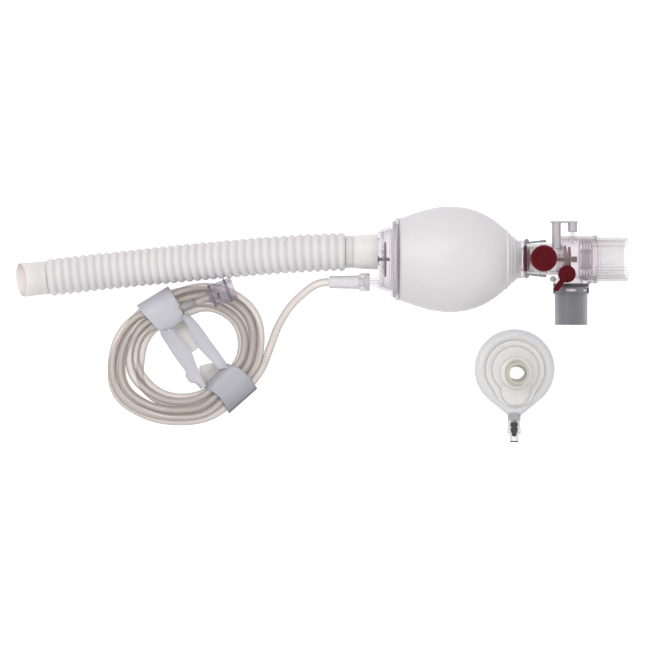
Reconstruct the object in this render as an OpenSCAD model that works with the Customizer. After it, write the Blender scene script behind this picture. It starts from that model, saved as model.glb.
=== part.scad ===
// Infant bag valve mask laid flat on a table: bag, oxygen reservoir tube, patient valve,
// coiled oxygen tubing and face mask. +X runs from the reservoir to the expiratory port.

/* [Bag] */
// Largest diameter of the squeeze bag
bag_d = 71.4; // [68:0.2:74]
// Length of the bag between its collar and its neck
bag_len = 82; // [78:1:86]
// Wall thickness of the bag
bag_wall = 2; // [1.5:0.1:2.5]
// Radius of the bag's neck
neck_r = 12.6; // [12:0.1:13]

/* [Reservoir tube] */
// Diameter over the tube's ridges
ridge_d = 26.2; // [25:0.1:27]
// Diameter in the tube's valleys
valley_d = 22.2; // [21:0.1:23]
// Number of ridges
ridges = 37; // [30:1:40]
// Outer diameter of the open end cuff
cuff_d = 23.4; // [23:0.1:25]

/* [Patient valve] */
// Outer diameter of the patient connector
patient_d = 22; // [21.9:0.05:22.1]
// Bore that takes the mask's connector
mask_bore_d = 15.2; // [15.1:0.05:15.3]
// Outer diameter of the expiratory port
port_d = 30; // [29.9:0.05:30.1]
// Outer radius of the valve chamber
chamber_r = 15.8; // [15.6:0.1:16]

/* [Mask] */
// Distance of the mask's centre from the bag's axis, across the table
mask_away = 77; // [76:1:90]
// Radius of the mask's round end
mask_r = 27.4; // [26:0.2:29]
// Outer diameter of the mask's connector
mask_pin_d = 15; // [14.9:0.05:15.1]

/* [Oxygen tubing] */
// Outer diameter of the oxygen tubing
oxygen_d = 5.5; // [5:0.1:6]
// Mean outer radius of the tubing's coil
coil_r = 52; // [50:1:54]
// Mean inner radius of the tubing's coil
coil_hole_r = 30; // [29:1:33]
// Height of the coil's bundle
coil_h = 12; // [11:0.5:13]

/* [Hidden] */

$fn = 64;
sides = 16;                                  // sides of a swept skin
play = 0.08;                                 // radial running clearance
cut = 1;                                     // how far a cutter runs past a face

bag_r = bag_d / 2;
axis_z = bag_r;                              // the bag lies on the table
mask_tip = 48.3;                             // mask centre to the end of its inflation valve
axis_y = (mask_away + mask_tip - bag_r) / 2; // centres the whole layout on the origin
bag_x = 53.2;                                // the bag's inlet end
neck_x = bag_x + bag_len;                    // the bag's outlet end

// Patient valve stations, from the neck along +X
barrel_r = 10.4;
barrel_bore = 8.9;
chamber_x = 26.8;
chamber_end = 50.7;
chamber_bore = 14.3;
port_end = 71.9;
relief_x = 13.9;
branch_x = 34.5;                             // the patient branch points to -Y
branch_r = 9;
luer_x = 34.1;                               // the capped sampling port points to +Y
luer_z = 11.4;
gauge_x = 29.7;                              // the capped pressure port points up
gauge_y = -10.3;
hinge_z = 17.6;                              // the override clip's hinge, above the axis
clip_reach = 12.2;

// Mask frame
mask_x = 134;
mask_y = axis_y - mask_away;
nose_y = -21;                                // centre of the mask's narrow end
nose_r = 9.5;
round_y = 2.2;                               // centre of the mask's round end
valve_y = -27.6;                             // where the inflation valve starts
valve_z = 6.6;

// Reservoir tube's ends
adapter_x = 22.7;
tube_x = 17.4;
tube_end_x = -186;
tube_y = axis_y + 5.2;
tube_drop_y = 16.9;
cuff_tilt = 5.6;
cuff_len = 20;

// Oxygen tubing: hand-chosen points from the sleeve down to the coil
oxygen_y = axis_y - 15.4;
sleeve_x = 6.4;
oxygen_route = [[6.2, 29.4, 35.7], [2, 29.2, 35.5], [-4, 27, 34.5], [-12, 21, 31], [-20, 13, 26],
                [-26, 4, 20.5], [-30, -4, 15.5], [-33, -12, 11], [-36, -20, 8], [-38, -26, 6.5],
                [-39.9, -31.4, 5.7]];
coil_at = [-92.4, -18.8];
coil_oval = [1.12, 0.9];                     // the coil lies as an oval
coil_turn = 35;                              // direction of its long axis

// ---- helpers ----
function unit(v) = v / norm(v);
function ring_at(p, t, r, n) =
    let (a = unit(cross([0, 0, 1], t)), b = cross(unit(t), a))
    [for (i = [0:n - 1]) p + r * (cos(360 * i / n) * a + sin(360 * i / n) * b)];
function heading(path, i) = path[min(i + 1, len(path) - 1)] - path[max(i - 1, 0)];

// Skin over a list of rings of equal counts; a closed one joins its last ring to its first
module skin(rings, closed = false) {
    n = len(rings[0]);
    m = len(rings);
    last = closed ? m - 1 : m - 2;
    walls = [for (k = [0:last], i = [0:n - 1], half = [0, 1])
        let (a = k * n + i, b = k * n + (i + 1) % n, c = (k + 1) % m * n + i,
             d = (k + 1) % m * n + (i + 1) % n)
        half == 0 ? [a, c, b] : [b, c, d]];
    lids = closed ? [] : [[for (i = [0:n - 1]) i], [for (i = [n - 1:-1:0]) (m - 1) * n + i]];
    polyhedron([for (r = rings, p = r) p], concat(walls, lids));
}

// A wire bent into a spring along +Z
module spring(r, wire, turns, height) {
    steps = 14;
    rise = (height - 2 * wire) / (turns * steps);
    path = [for (i = [0:turns * steps])
        [r * cos(360 * i / steps), r * sin(360 * i / steps), wire + rise * i]];
    skin([for (i = [0:len(path) - 1]) ring_at(path[i], heading(path, i), wire, 6)]);
}

module on_axis(x = 0) translate([x, axis_y, axis_z]) children();
module toward_x() rotate([0, 90, 0]) children();
module toward_minus_y() rotate([90, 0, 0]) children();
module toward_y() rotate([-90, 0, 0]) children();
module at_valve() on_axis(neck_x) children();
module at_mask() translate([mask_x, mask_y, 0]) children();

// Hollow cylinder from a to b along +Z
module sleeve(a, b, outer, inner) {
    difference() {
        translate([0, 0, a]) cylinder(h = b - a, r = outer);
        translate([0, 0, a - cut]) cylinder(h = b - a + 2 * cut, r = inner);
    }
}

// ---- bag ----
function bezier(p, t) =
    let (u = 1 - t) p[0] * pow(u, 3) + 3 * p[1] * t * u * u + 3 * p[2] * t * t * u + p[3] * pow(t, 3);
bag_steps = 9;
bag_back = [[27.4, 0], [32.4, 14], [bag_r, 22], [bag_r, 35]];
bag_front = [[bag_r, 35], [bag_r, 50], [30, 62], [20.2, 72]];
bag_side = concat([for (i = [0:bag_steps]) bezier(bag_back, i / bag_steps)],
                  [for (i = [1:bag_steps]) bezier(bag_front, i / bag_steps)],
                  [[19.4, 72.6], [14.6, bag_len - 3], [neck_r, bag_len - 1.6], [neck_r, bag_len]]);
bag_inside = [for (i = [len(bag_side) - 1:-1:0]) [bag_side[i][0] - bag_wall, bag_side[i][1]]];

module squeeze_bag() color([0.88, 0.87, 0.87])
    on_axis(bag_x) toward_x() rotate_extrude($fn = 96) polygon(concat(bag_side, bag_inside));

// ---- inlet ----
collar_r = 28;
housing_x = 38.9;

module inlet_collar() color([0.8, 0.8, 0.86])
    on_axis() toward_x() rotate_extrude($fn = 96) polygon([
        [25.6, bag_x - 3.4], [collar_r - 1.6, bag_x - 3.4], [collar_r - 1.6, bag_x - 2.4],
        [collar_r, bag_x - 2], [collar_r, bag_x - 0.1], [25.3, bag_x - 0.1],
        [25.3, bag_x + 4], [23.8, bag_x + 4], [23.8, bag_x - 1.8], [25.6, bag_x - 1.8]]);

module inlet_housing() color([0.84, 0.84, 0.88]) {
    difference() {
        union() {
            on_axis() toward_x() rotate_extrude($fn = 96) polygon([
                [0, housing_x], [19.6, housing_x], [22.3, housing_x + 8.6], [25.5, housing_x + 9.4],
                [25.5, bag_x - 2], [23.7, bag_x - 2], [23.7, housing_x + 10.6],
                [20.7, housing_x + 9.6], [18.4, housing_x + 1.6], [0, housing_x + 1.6]]);
            on_axis() translate([0, tube_y - axis_y, 0]) toward_x()
                translate([0, 0, housing_x - 3]) cylinder(h = 4, r = 11);
            on_axis() translate([0, oxygen_y - axis_y, 0]) toward_x()
                translate([0, 0, 29]) cylinder(h = housing_x - 28.5, r = 3);
        }
        translate([0, tube_y, axis_z]) toward_x() translate([0, 0, 30]) cylinder(h = 15, r = 9.4);
        translate([0, oxygen_y, axis_z]) toward_x() translate([0, 0, 26]) cylinder(h = 20, r = 1.4);
    }
}

seat_x = housing_x + 4.4;

module inlet_valve_seat() color([0.86, 0.86, 0.9])
    on_axis() toward_x() difference() {
        translate([0, 0, seat_x - 1.4]) cylinder(h = 1.4, r = 18.8);
        for (a = [0:60:300])
            rotate([0, 0, a]) translate([0, 6.6, seat_x - 3]) cylinder(h = 4, r = 2.6);
        translate([0, 0, seat_x - 3]) cylinder(h = 4, r = 1.3);
    }

module inlet_valve_flap() color([0.4, 0.08, 0.12])
    on_axis() toward_x() {
        translate([0, 0, seat_x + 0.3]) cylinder(h = 1.2, r = 11.8);
        translate([0, 0, seat_x - 3.6]) cylinder(h = 7.6, r = 1.05);
        translate([0, 0, seat_x - 4]) cylinder(h = 0.8, r = 2.1);
    }

// ---- reservoir ----
module reservoir_adapter() color([0.88, 0.86, 0.86])
    translate([0, tube_y, axis_z]) toward_x() rotate_extrude() polygon([
        [8.2, tube_x - 1], [9.4, tube_x - 1], [9.4, adapter_x], [11.2, adapter_x],
        [12, housing_x - 3], [12, housing_x], [11.1, housing_x], [11.1, housing_x - 3.1],
        [8.2, housing_x - 3.1]]);

module reservoir_inlet_cuff() color([0.87, 0.86, 0.86])
    translate([0, tube_y, axis_z]) toward_x() sleeve(tube_x + 0.2, adapter_x, 10.9, 9.45);

// The tube's centreline sags from the housing to the table; s runs from 0 to 1
function tube_at(s) = [
    tube_x + (tube_end_x - tube_x) * s,
    tube_y - tube_drop_y * pow(s, 1.4),
    ridge_d / 2 + (axis_z - ridge_d / 2) * (1 + cos(180 * min(1, s / 0.85))) / 2 + 0.05];
function tube_heading(s) = tube_at(min(s + 0.005, 1)) - tube_at(max(s - 0.005, 0));
ridge_form = [[0, 0], [0.3, 1], [0.7, 1]];  // share of the pitch, share of the ridge's height
tube_bore_r = 10;

module reservoir_tube() color([0.89, 0.87, 0.88]) {
    rise = (ridge_d - valley_d) / 2;
    bore_rings = 18;
    waves = concat([for (k = [0:ridges - 1], f = ridge_form) [(k + f[0]) / ridges, f[1]]], [[1, 0]]);
    outside = [for (w = waves)
        ring_at(tube_at(w[0]), tube_heading(w[0]), valley_d / 2 + rise * w[1], sides)];
    inside = [for (k = [bore_rings:-1:0]) let (s = k / bore_rings)
        ring_at(tube_at(s), tube_heading(s), tube_bore_r, sides)];
    skin(concat(outside, inside), closed = true);
}

module reservoir_open_cuff() color([0.9, 0.89, 0.89])
    translate(tube_at(1) - [0.05, 0, 0]) rotate([0, 0, 180 + cuff_tilt]) toward_x()
        rotate_extrude() polygon([
            [10.9, 0.4], [11.4, 0.4], [11.5, cuff_len - 3], [cuff_d / 2 + 0.3, cuff_len - 2.6],
            [cuff_d / 2 + 0.3, cuff_len], [11, cuff_len], [11, 4], [tube_bore_r, 3],
            [tube_bore_r, 0.4]]);

// ---- oxygen tubing ----
module oxygen_nut() color([0.82, 0.82, 0.86])
    translate([0, oxygen_y, axis_z]) toward_x() rotate_extrude() polygon([
        [3.05, 26.5], [5, 26.5], [6.15, 28], [6.15, 33.8], [5.7, 33.8], [4.4, 30], [3.05, 30]]);

module oxygen_sleeve() color([0.85, 0.84, 0.86])
    translate([0, oxygen_y, axis_z]) toward_x() rotate_extrude() polygon([
        [0, sleeve_x], [4.1, sleeve_x], [4.6, 26.4], [0, 26.4]]);

module oxygen_tube() color([0.86, 0.84, 0.82])
    skin([for (i = [0:len(oxygen_route) - 1])
        ring_at(oxygen_route[i], heading(oxygen_route, i), oxygen_d / 2, 8)]);

coil_section = [
    [coil_hole_r, 2], [coil_hole_r + 1, 0], [coil_r - 1.5, 0], [coil_r, 2], [coil_r, 5.5],
    [coil_r - 4, 9.5], [coil_r - 8, coil_h], [coil_hole_r + 5, coil_h], [coil_hole_r, 7]];
coil_steps = 48;

module oxygen_coil() color([0.8, 0.77, 0.75])
    translate(coil_at) rotate([0, 0, coil_turn])
        skin([for (k = [0:coil_steps - 1]) let (a = 360 * k / coil_steps)
            [for (p = coil_section)
                [p[0] * cos(a) * coil_oval[0], p[0] * sin(a) * coil_oval[1], p[1]]]], closed = true);

// Each wrap of the tie is an arch over the bundle, and two straps join the wraps
wrap_turns = [119, -46];
strap_turn = -56;
strap_offsets = [-9, 4];                     // near edge of each strap from the coil's centre
strap_w = 8;
wrap_w = 25;
wrap_hole = coil_hole_r * coil_oval[1];      // the bundle's reach under the wraps
wrap_reach = coil_r * coil_oval[1];
tie_t = 0.8;
tie_gap = 0.1;

// The arch's section, as radius and height, drawn in by d
function arch_section(d) = [
    [wrap_hole - 4.3 + d, -cut * sign(d)], [wrap_hole - 4.3 + d, 8.5],
    [wrap_hole - 0.5, coil_h + 0.9 - d], [wrap_reach - 6.2, coil_h + 0.9 - d],
    [wrap_reach + 1.1 - d, 6.4], [wrap_reach + 1.3 - d, -cut * sign(d)]];
module tie_arch(d, length) translate([0, length / 2, tie_gap]) rotate([90, 0, 0])
    linear_extrude(length) polygon(arch_section(d));

module coil_tie() color([0.77, 0.77, 0.82])
    translate([coil_at[0], coil_at[1], 0]) {
        difference() {
            for (a = wrap_turns) rotate([0, 0, a]) tie_arch(0, wrap_w);
            for (a = wrap_turns) rotate([0, 0, a]) tie_arch(tie_t, wrap_w + 2 * cut);
        }
        for (y = strap_offsets) rotate([0, 0, strap_turn])
            translate([-coil_hole_r, y, coil_h + tie_gap]) cube([2 * coil_hole_r, strap_w, tie_t]);
    }

// The far end's cup connector lies on the coil, tilted in plan
source_tilt = 20.7;
source_at = [-68.6, 22, 21];

module source_connector() color([0.75, 0.75, 0.86])
    translate(source_at) rotate([0, 0, source_tilt]) toward_x() difference() {
        rotate_extrude() polygon([
            [0, -12], [3.6, -12], [3.9, -6.4], [8.5, -5.6], [8.5, -4.4], [7.2, -4], [7.2, 5.2],
            [8.5, 5.7], [8.5, 6.9], [7.6, 7.2], [7.6, 11], [0, 11]]);
        translate([0, 0, -2]) cylinder(h = 20, r = 5.6);
        translate([0, 0, -20]) cylinder(h = 14, r = oxygen_d / 2);
    }

// ---- patient valve: parts on the bag's side ----
module neck_connector() color([0.84, 0.84, 0.88])
    at_valve() toward_x() difference() {
        rotate_extrude() polygon([
            [8, -9], [10.4, -9], [10.5, 0.05], [12.8, 0.05], [12.8, 2.2], [12.4, 2.6],
            [barrel_bore - play, 2.6], [barrel_bore - play, 9.2], [8, 9.2]]);
    }

module neck_washer() color([0.3, 0.05, 0.1])
    at_valve() toward_x() sleeve(3, 6.2, 7.95, 6.6);

// ---- patient valve: swivelling housing ----
module valve_housing() color([0.86, 0.86, 0.9])
    at_valve() difference() {
        union() {
            toward_x() translate([0, 0, 2.9]) cylinder(h = chamber_x, r = barrel_r);
            toward_x() translate([0, 0, chamber_x])
                cylinder(h = chamber_end - chamber_x, r = chamber_r);
            toward_x() translate([0, 0, chamber_end - 1.5]) cylinder(h = 1.5, r = 16.4);
            translate([branch_x, 0, 0]) toward_minus_y() {
                cylinder(h = 30, r = branch_r);
                translate([0, 0, 13]) cylinder(h = 3.4, r = 12);
            }
            translate([relief_x, 0, 0]) cylinder(h = 10.9, r = 8.4);
            translate([gauge_x, gauge_y, 0]) cylinder(h = 14.2, r = 3.2);
            translate([gauge_x, gauge_y, 0]) cylinder(h = 16.4, r = 2.2);
            translate([luer_x, 0, luer_z]) toward_y() cylinder(h = 15, r = 2.7);
            translate([luer_x, 0, luer_z]) toward_y() cylinder(h = 22, r = 1.7);
        }
        toward_x() translate([0, 0, 1]) cylinder(h = 30, r = barrel_bore);
        toward_x() translate([0, 0, chamber_x + 1.5]) cylinder(h = 30, r = chamber_bore);
        translate([branch_x, 0, 0]) toward_minus_y() cylinder(h = 32, r = 7.9);
        translate([relief_x, 0, 0]) cylinder(h = 12, r = 4.2);
        translate([gauge_x, gauge_y, 0]) cylinder(h = 18, r = 1);
        translate([luer_x, 0, luer_z]) toward_y() cylinder(h = 24, r = 0.9);
    }

module shutter_guide() color([0.88, 0.88, 0.92])
    at_valve() toward_x() {
        sleeve(25, 29.6, barrel_bore - 0.02, 7.7);
        sleeve(25, 28, 2.4, 1.25);
        for (a = [30:120:270]) rotate([0, 0, a]) translate([2, -0.6, 25]) cube([6.2, 1.2, 2]);
    }

module shutter_valve() color([0.5, 0.1, 0.14])
    at_valve() toward_x() {
        translate([0, 0, 24]) cylinder(h = 14.2, r = 1.15);
        translate([0, 0, 29.95]) cylinder(h = 0.8, r = 9.4);
        translate([0, 0, 32.8]) cylinder(h = 0.8, r = 8.6);
        translate([0, 0, 35]) cylinder(h = 3.4, r = 2);
    }

module exhaust_baffle() color([0.86, 0.85, 0.88])
    at_valve() toward_x() {
        sleeve(40.5, chamber_end, chamber_bore - 0.02, 13);
        for (x = [41:1.9:47]) sleeve(x, x + 0.8, 13.2, 11.8);
        sleeve(40.5, 48, 6.3, 5.2);
        for (x = [41:1.9:47]) sleeve(x, x + 0.7, 7, 6.2);
        for (a = [0:120:240]) rotate([0, 0, a]) translate([6, -0.7, 46.4]) cube([7.4, 1.4, 1.6]);
    }

port_start = chamber_end + 0.05;

module expiratory_port() color([0.88, 0.88, 0.92])
    at_valve() toward_x() difference() {
        union() {
            translate([0, 0, port_start]) cylinder(h = 1.4, r = 16.4);
            translate([0, 0, port_start]) cylinder(h = port_end - port_start, r = port_d / 2);
        }
        difference() {
            translate([0, 0, chamber_end - cut]) cylinder(h = 30, r = 13.4);
            for (a = [15:30:345]) rotate([0, 0, a])
                translate([12.9, -0.4, chamber_end - cut]) cube([2, 0.8, 12]);
        }
    }

// ---- pressure relief ----
tower_base = 10.95;
tower_top = 20;
hinge_pin_r = 1.15;

module at_relief() at_valve() translate([relief_x, 0, 0]) children();

module relief_tower() color([0.86, 0.86, 0.9])
    at_relief() {
        difference() {
            union() {
                translate([0, 0, tower_base]) cylinder(h = tower_top - tower_base, r = 8.4);
                translate([0, 0, hinge_z]) toward_y() cylinder(h = 21, r = 2.2, center = true);
                translate([0, 0, hinge_z]) toward_y() cylinder(h = 25.4, r = hinge_pin_r, center = true);
            }
            translate([0, 0, tower_base - cut]) cylinder(h = tower_top - tower_base - 0.2, r = 6.8);
            translate([0, 0, tower_top - 3]) cylinder(h = 4, r = 1.9);
            for (a = [45:90:315]) rotate([0, 0, a])
                translate([5, -1.5, tower_base + 1.5]) cube([5, 3, 4]);
        }
    }

module relief_poppet() color([0.86, 0.84, 0.82])
    at_relief() sleeve(tower_base + 0.3, tower_base + 1.6, 5.6, 1.5);

module relief_spring() color([0.7, 0.7, 0.72])
    at_relief() translate([0, 0, tower_base + 1.7])
        spring(3.2, 0.35, 4, tower_top - tower_base - 3);

module relief_cap() color([0.42, 0.07, 0.12])
    at_relief() rotate_extrude() polygon([
        [0, tower_base + 0.4], [1.45, tower_base + 0.4], [1.45, 20.6], [8.6, 20.6], [8.8, 20.9],
        [8.8, 21.6], [7.8, 22.6], [6.4, 22.6], [6.1, 22.2], [2.2, 22.2], [1.8, 22.5], [0, 22.5]]);

module override_clip() color([0.5, 0.5, 0.52])
    at_relief() translate([0, 0, hinge_z]) difference() {
        union() {
            for (y = [-12.3, 10.8]) {
                translate([-clip_reach, y, -1.3]) cube([clip_reach, 1.5, 2.6]);
                translate([0, y, 0]) toward_y() cylinder(h = 1.5, r = 2);
            }
            translate([-clip_reach, -12.3, -1.3]) cube([1.5, 24.6, 2.6]);
            for (y = [-11.6, 11.6]) translate([1 - clip_reach, y, -1.5]) cylinder(h = 3, r = 1.5);
        }
        toward_y() cylinder(h = 40, r = hinge_pin_r + play, center = true);
    }

// ---- caps ----
gauge_cap_z = 15.8;
tab_turn = -125.4;                          // where the cap's pull tab points

module manometer_cap() color([0.45, 0.08, 0.13])
    at_valve() translate([gauge_x, gauge_y, 0]) difference() {
        union() {
            translate([0, 0, gauge_cap_z]) cylinder(h = 2.3, r = 5.75);
            translate([0, 0, gauge_cap_z - 1.1]) cylinder(h = 2, r = 3.4);
            translate([0.5, 4.6, gauge_cap_z + 2]) cylinder(h = 1, r = 1.1);
            rotate([0, 0, tab_turn]) translate([4, -1.85, gauge_cap_z + 0.1]) cube([8, 3.7, 1.4]);
            rotate([0, 0, tab_turn]) translate([12, 0, gauge_cap_z + 0.1]) cylinder(h = 1.4, r = 1.85);
        }
        translate([0, 0, gauge_cap_z - 2]) cylinder(h = 3, r = 2.2 + play);
        translate([0, 0, gauge_cap_z + 1.8]) cylinder(h = 1, r = 0.9);
    }

module port_cap() color([0.77, 0.75, 0.78])
    at_valve() difference() {
        union() {
            translate([19.5, 24, luer_z - 3]) cube([17.7, 1.3, 6]);
            translate([luer_x, 18.1, luer_z]) toward_y() cylinder(h = 6.2, r = 3);
            translate([23.3, 6.9, luer_z]) toward_y() cylinder(h = 17.4, r = 2.9);
        }
        translate([luer_x, 17, luer_z]) toward_y() cylinder(h = 5.3, r = 1.7 + play);
        translate([23.3, 6, luer_z]) toward_y() cylinder(h = 14, r = 2.1);
    }

// ---- patient connector ----
module connector_seal() color([0.35, 0.35, 0.34])
    at_valve() translate([branch_x, 0, 0]) toward_minus_y()
        sleeve(16.45, 18.5, 12, branch_r + 0.02);

module patient_connector() color([0.5, 0.5, 0.52])
    at_valve() translate([branch_x, 0, 0]) toward_minus_y() difference() {
        union() {
            translate([0, 0, 18.8]) cylinder(h = 4.6, r = 12.15);
            translate([0, 0, 18.8]) cylinder(h = 44.3 - 18.8, r = patient_d / 2);
        }
        translate([0, 0, 17]) cylinder(h = 13.4, r = branch_r + play);
        translate([0, 0, 17]) cylinder(h = 30, r = mask_bore_d / 2);
        for (a = [37:60:337]) rotate([0, 0, a]) translate([10, -3.6, 19.5]) cube([4, 7.2, 2.9]);
    }

// ---- mask ----
// Outline of the mask drawn in by d: a round end and a narrow end joined by tangents
tangent_a = asin((mask_r - nose_r) / (round_y - nose_y));
function outline(d) =
    let (a = tangent_a, tip_r = max(nose_r - d, 1.5),
         tip_y = round_y - (mask_r - d - tip_r) / sin(a))
    concat([for (i = [0:22]) let (t = -a + (180 + 2 * a) * i / 22)
                [(mask_r - d) * cos(t), round_y + (mask_r - d) * sin(t)]],
           [for (i = [1:7]) let (t = 180 + a + (180 - 2 * a) * i / 8)
                [tip_r * cos(t), tip_y + tip_r * sin(t)]]);
function circle_like(d, r) = [for (p = outline(d)) r * unit(p)];
function lifted(points, z) = [for (p = points) [p[0], p[1], z]];
function blended(d, r, t, z) = let (a = outline(d), b = circle_like(d, r))
    lifted([for (i = [0:len(a) - 1]) (1 - t) * a[i] + t * b[i]], z);

hub_r = 9;
dome_t = 1.3;
dome_form = [[0, 12.9], [0.3, 14.6], [0.42, 17.2], [0.8, 20.4], [1, 21.4]]; // share, height

module mask_dome() color([0.88, 0.88, 0.85])
    at_mask() skin(concat(
        [for (f = dome_form) blended(6.4, hub_r, f[0], f[1])],
        [for (k = [len(dome_form) - 1:-1:0])
            blended(7.4, hub_r - 1, dome_form[k][0], dome_form[k][1] - dome_t)]), closed = true);

module mask_cushion() color([0.88, 0.88, 0.88])
    at_mask() skin([for (k = [0:15]) let (a = 360 * k / 16)
        lifted(outline(6.2 - 6.2 * cos(a)), 5.8 - 5.75 * sin(a))], closed = true);

module mask_connector() color([0.87, 0.87, 0.82])
    at_mask() rotate_extrude() polygon([
        [5.8, 20.2], [7.9, 20.2], [7.9, 21.7], [11, 21.7], [11, 22.6], [8.6, 23.4],
        [mask_pin_d / 2, 24.6], [mask_pin_d / 2, 36], [7.1, 36.5], [5.8, 36.5]]);

module at_inflation_valve() at_mask() translate([0, valve_y, valve_z]) toward_minus_y() children();

module inflation_valve_body() color([0.84, 0.84, 0.88])
    at_inflation_valve() difference() {
        union() {
            translate([0, 0, 3.05]) cylinder(h = 10.95, r = 4.2);
            translate([0, 0, 11.6]) cylinder(h = 2.4, r = 4.6);
        }
        translate([0, 0, 5]) cylinder(h = 12, r = 3);
    }

module inflation_valve_core() color([0.24, 0.27, 0.25])
    at_inflation_valve() {
        sleeve(6.7, 9.8, 2.7, 2.45);
        translate([0, 0, 9.8]) cylinder(h = 2.4, r = 2.7);
        translate([0, 0, 12.2]) cylinder(h = 4.4, r = 1.6);
    }

module inflation_valve_spring() color([0.6, 0.6, 0.62])
    at_inflation_valve() translate([0, 0, 5.1]) spring(2.1, 0.25, 3, 3);

module inflation_valve_tip() color([0.82, 0.82, 0.88])
    at_inflation_valve() {
        sleeve(14.05, 20.7, 2.9, 2.2);
        sleeve(14.05, 15, 4.3, 2.2);
    }

squeeze_bag();
inlet_collar();
inlet_housing();
inlet_valve_seat();
inlet_valve_flap();
reservoir_adapter();
reservoir_inlet_cuff();
reservoir_tube();
reservoir_open_cuff();
oxygen_nut();
oxygen_sleeve();
oxygen_tube();
oxygen_coil();
coil_tie();
source_connector();
neck_connector();
neck_washer();
valve_housing();
shutter_guide();
shutter_valve();
exhaust_baffle();
expiratory_port();
relief_tower();
relief_spring();
relief_poppet();
relief_cap();
override_clip();
manometer_cap();
port_cap();
connector_seal();
patient_connector();
mask_dome();
mask_cushion();
mask_connector();
inflation_valve_body();
inflation_valve_core();
inflation_valve_spring();
inflation_valve_tip();
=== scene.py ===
import math

import bpy
import numpy as np
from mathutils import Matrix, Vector


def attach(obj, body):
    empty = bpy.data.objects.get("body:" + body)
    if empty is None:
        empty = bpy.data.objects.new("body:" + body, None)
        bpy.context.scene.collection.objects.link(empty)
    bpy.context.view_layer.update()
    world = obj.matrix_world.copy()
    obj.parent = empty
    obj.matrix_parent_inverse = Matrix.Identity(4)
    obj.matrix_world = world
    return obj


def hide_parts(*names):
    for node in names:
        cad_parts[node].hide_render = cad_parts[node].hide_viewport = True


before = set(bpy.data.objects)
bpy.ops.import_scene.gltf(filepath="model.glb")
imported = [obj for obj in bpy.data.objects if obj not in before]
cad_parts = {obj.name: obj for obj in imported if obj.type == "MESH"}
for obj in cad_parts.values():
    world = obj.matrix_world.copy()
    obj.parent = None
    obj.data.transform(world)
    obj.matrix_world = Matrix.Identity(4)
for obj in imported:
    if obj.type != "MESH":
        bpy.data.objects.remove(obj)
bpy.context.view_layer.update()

MM = 0.001

# Places and sizes that the CAD part has too, in millimetres
AXIS_Y, AXIS_Z = 44.8, 35.7
BAG_X, BAG_LEN, BAG_R, NECK_R = 53.2, 82.0, 35.7, 12.6
NECK_X = BAG_X + BAG_LEN
TUBE_X, TUBE_END_X, TUBE_Y = 17.4, -186.0, 50.0
RIDGE_R, VALLEY_R, TUBE_BORE_R, RIDGES = 13.1, 11.1, 10.0, 37
HINGE_X, HINGE_Z = NECK_X + 13.9, AXIS_Z + 17.6
MASK_X, MASK_Y = 134.0, -32.2
INFLATION_AT = (MASK_X, MASK_Y - 27.6, 6.6)
HOSE_D = 5.5
COIL_AT = np.array([-92.4, -18.8])
SOURCE_AT = np.array([-68.6, 22.0, 21.0])
SOURCE_TILT, CUFF_TILT = 20.7, 5.6          # degrees, seen from above


# ---------------------------------------------------------------- camera and light
CAMERA_AT, CAMERA_LENS = (0.0036, 0.0005, 1.400), 111.94    # place in metres, lens in millimetres
PANELS = (                                  # name, place, width and watts
    ("key_panel", (-0.9, 0.5, 1.5), 0.9, 7.0),
    ("fill_panel", (1.0, -0.7, 1.4), 1.0, 3.0),
    ("top_panel", (0.0, 0.9, 1.6), 0.7, 3.0),
)
ROOM_LIGHT, PAPER_GLOW = 0.66, 0.75


def make_camera():
    """The camera looks straight down, as in the photograph"""
    cam = bpy.data.objects.new("camera", bpy.data.cameras.new("camera"))
    bpy.context.collection.objects.link(cam)
    cam.location = CAMERA_AT
    cam.data.lens = CAMERA_LENS
    cam.data.sensor_width = 36
    cam.data.clip_end = 20
    bpy.context.scene.camera = cam


def make_light():
    """A pale room and three soft panels"""
    world = bpy.data.worlds.new("studio")
    bpy.context.scene.world = world
    world.use_nodes = True
    back = world.node_tree.nodes["Background"]
    back.inputs["Color"].default_value = (1.0, 1.0, 1.0, 1)
    back.inputs["Strength"].default_value = ROOM_LIGHT
    for name, place, size, power in PANELS:
        lamp = bpy.data.lights.new(name, "AREA")
        lamp.shape = "DISK"
        lamp.size = size
        lamp.energy = power
        obj = bpy.data.objects.new(name, lamp)
        bpy.context.collection.objects.link(obj)
        obj.location = place
        obj.rotation_euler = (-Vector(place)).to_track_quat("-Z", "Y").to_euler()
    scene = bpy.context.scene
    scene.view_settings.view_transform = "Standard"
    scene.view_settings.look = "None"
    scene.cycles.transparent_max_bounces = 40
    scene.cycles.max_bounces = 16
    scene.cycles.transmission_bounces = 12


# ---------------------------------------------------------------- materials
def linear(rgb):
    """Linear colour from display values between 0 and 255"""
    return tuple(
        (c / 255 / 12.92) if c <= 10 else ((c / 255 + 0.055) / 1.055) ** 2.4 for c in rgb
    ) + (1,)


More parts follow.
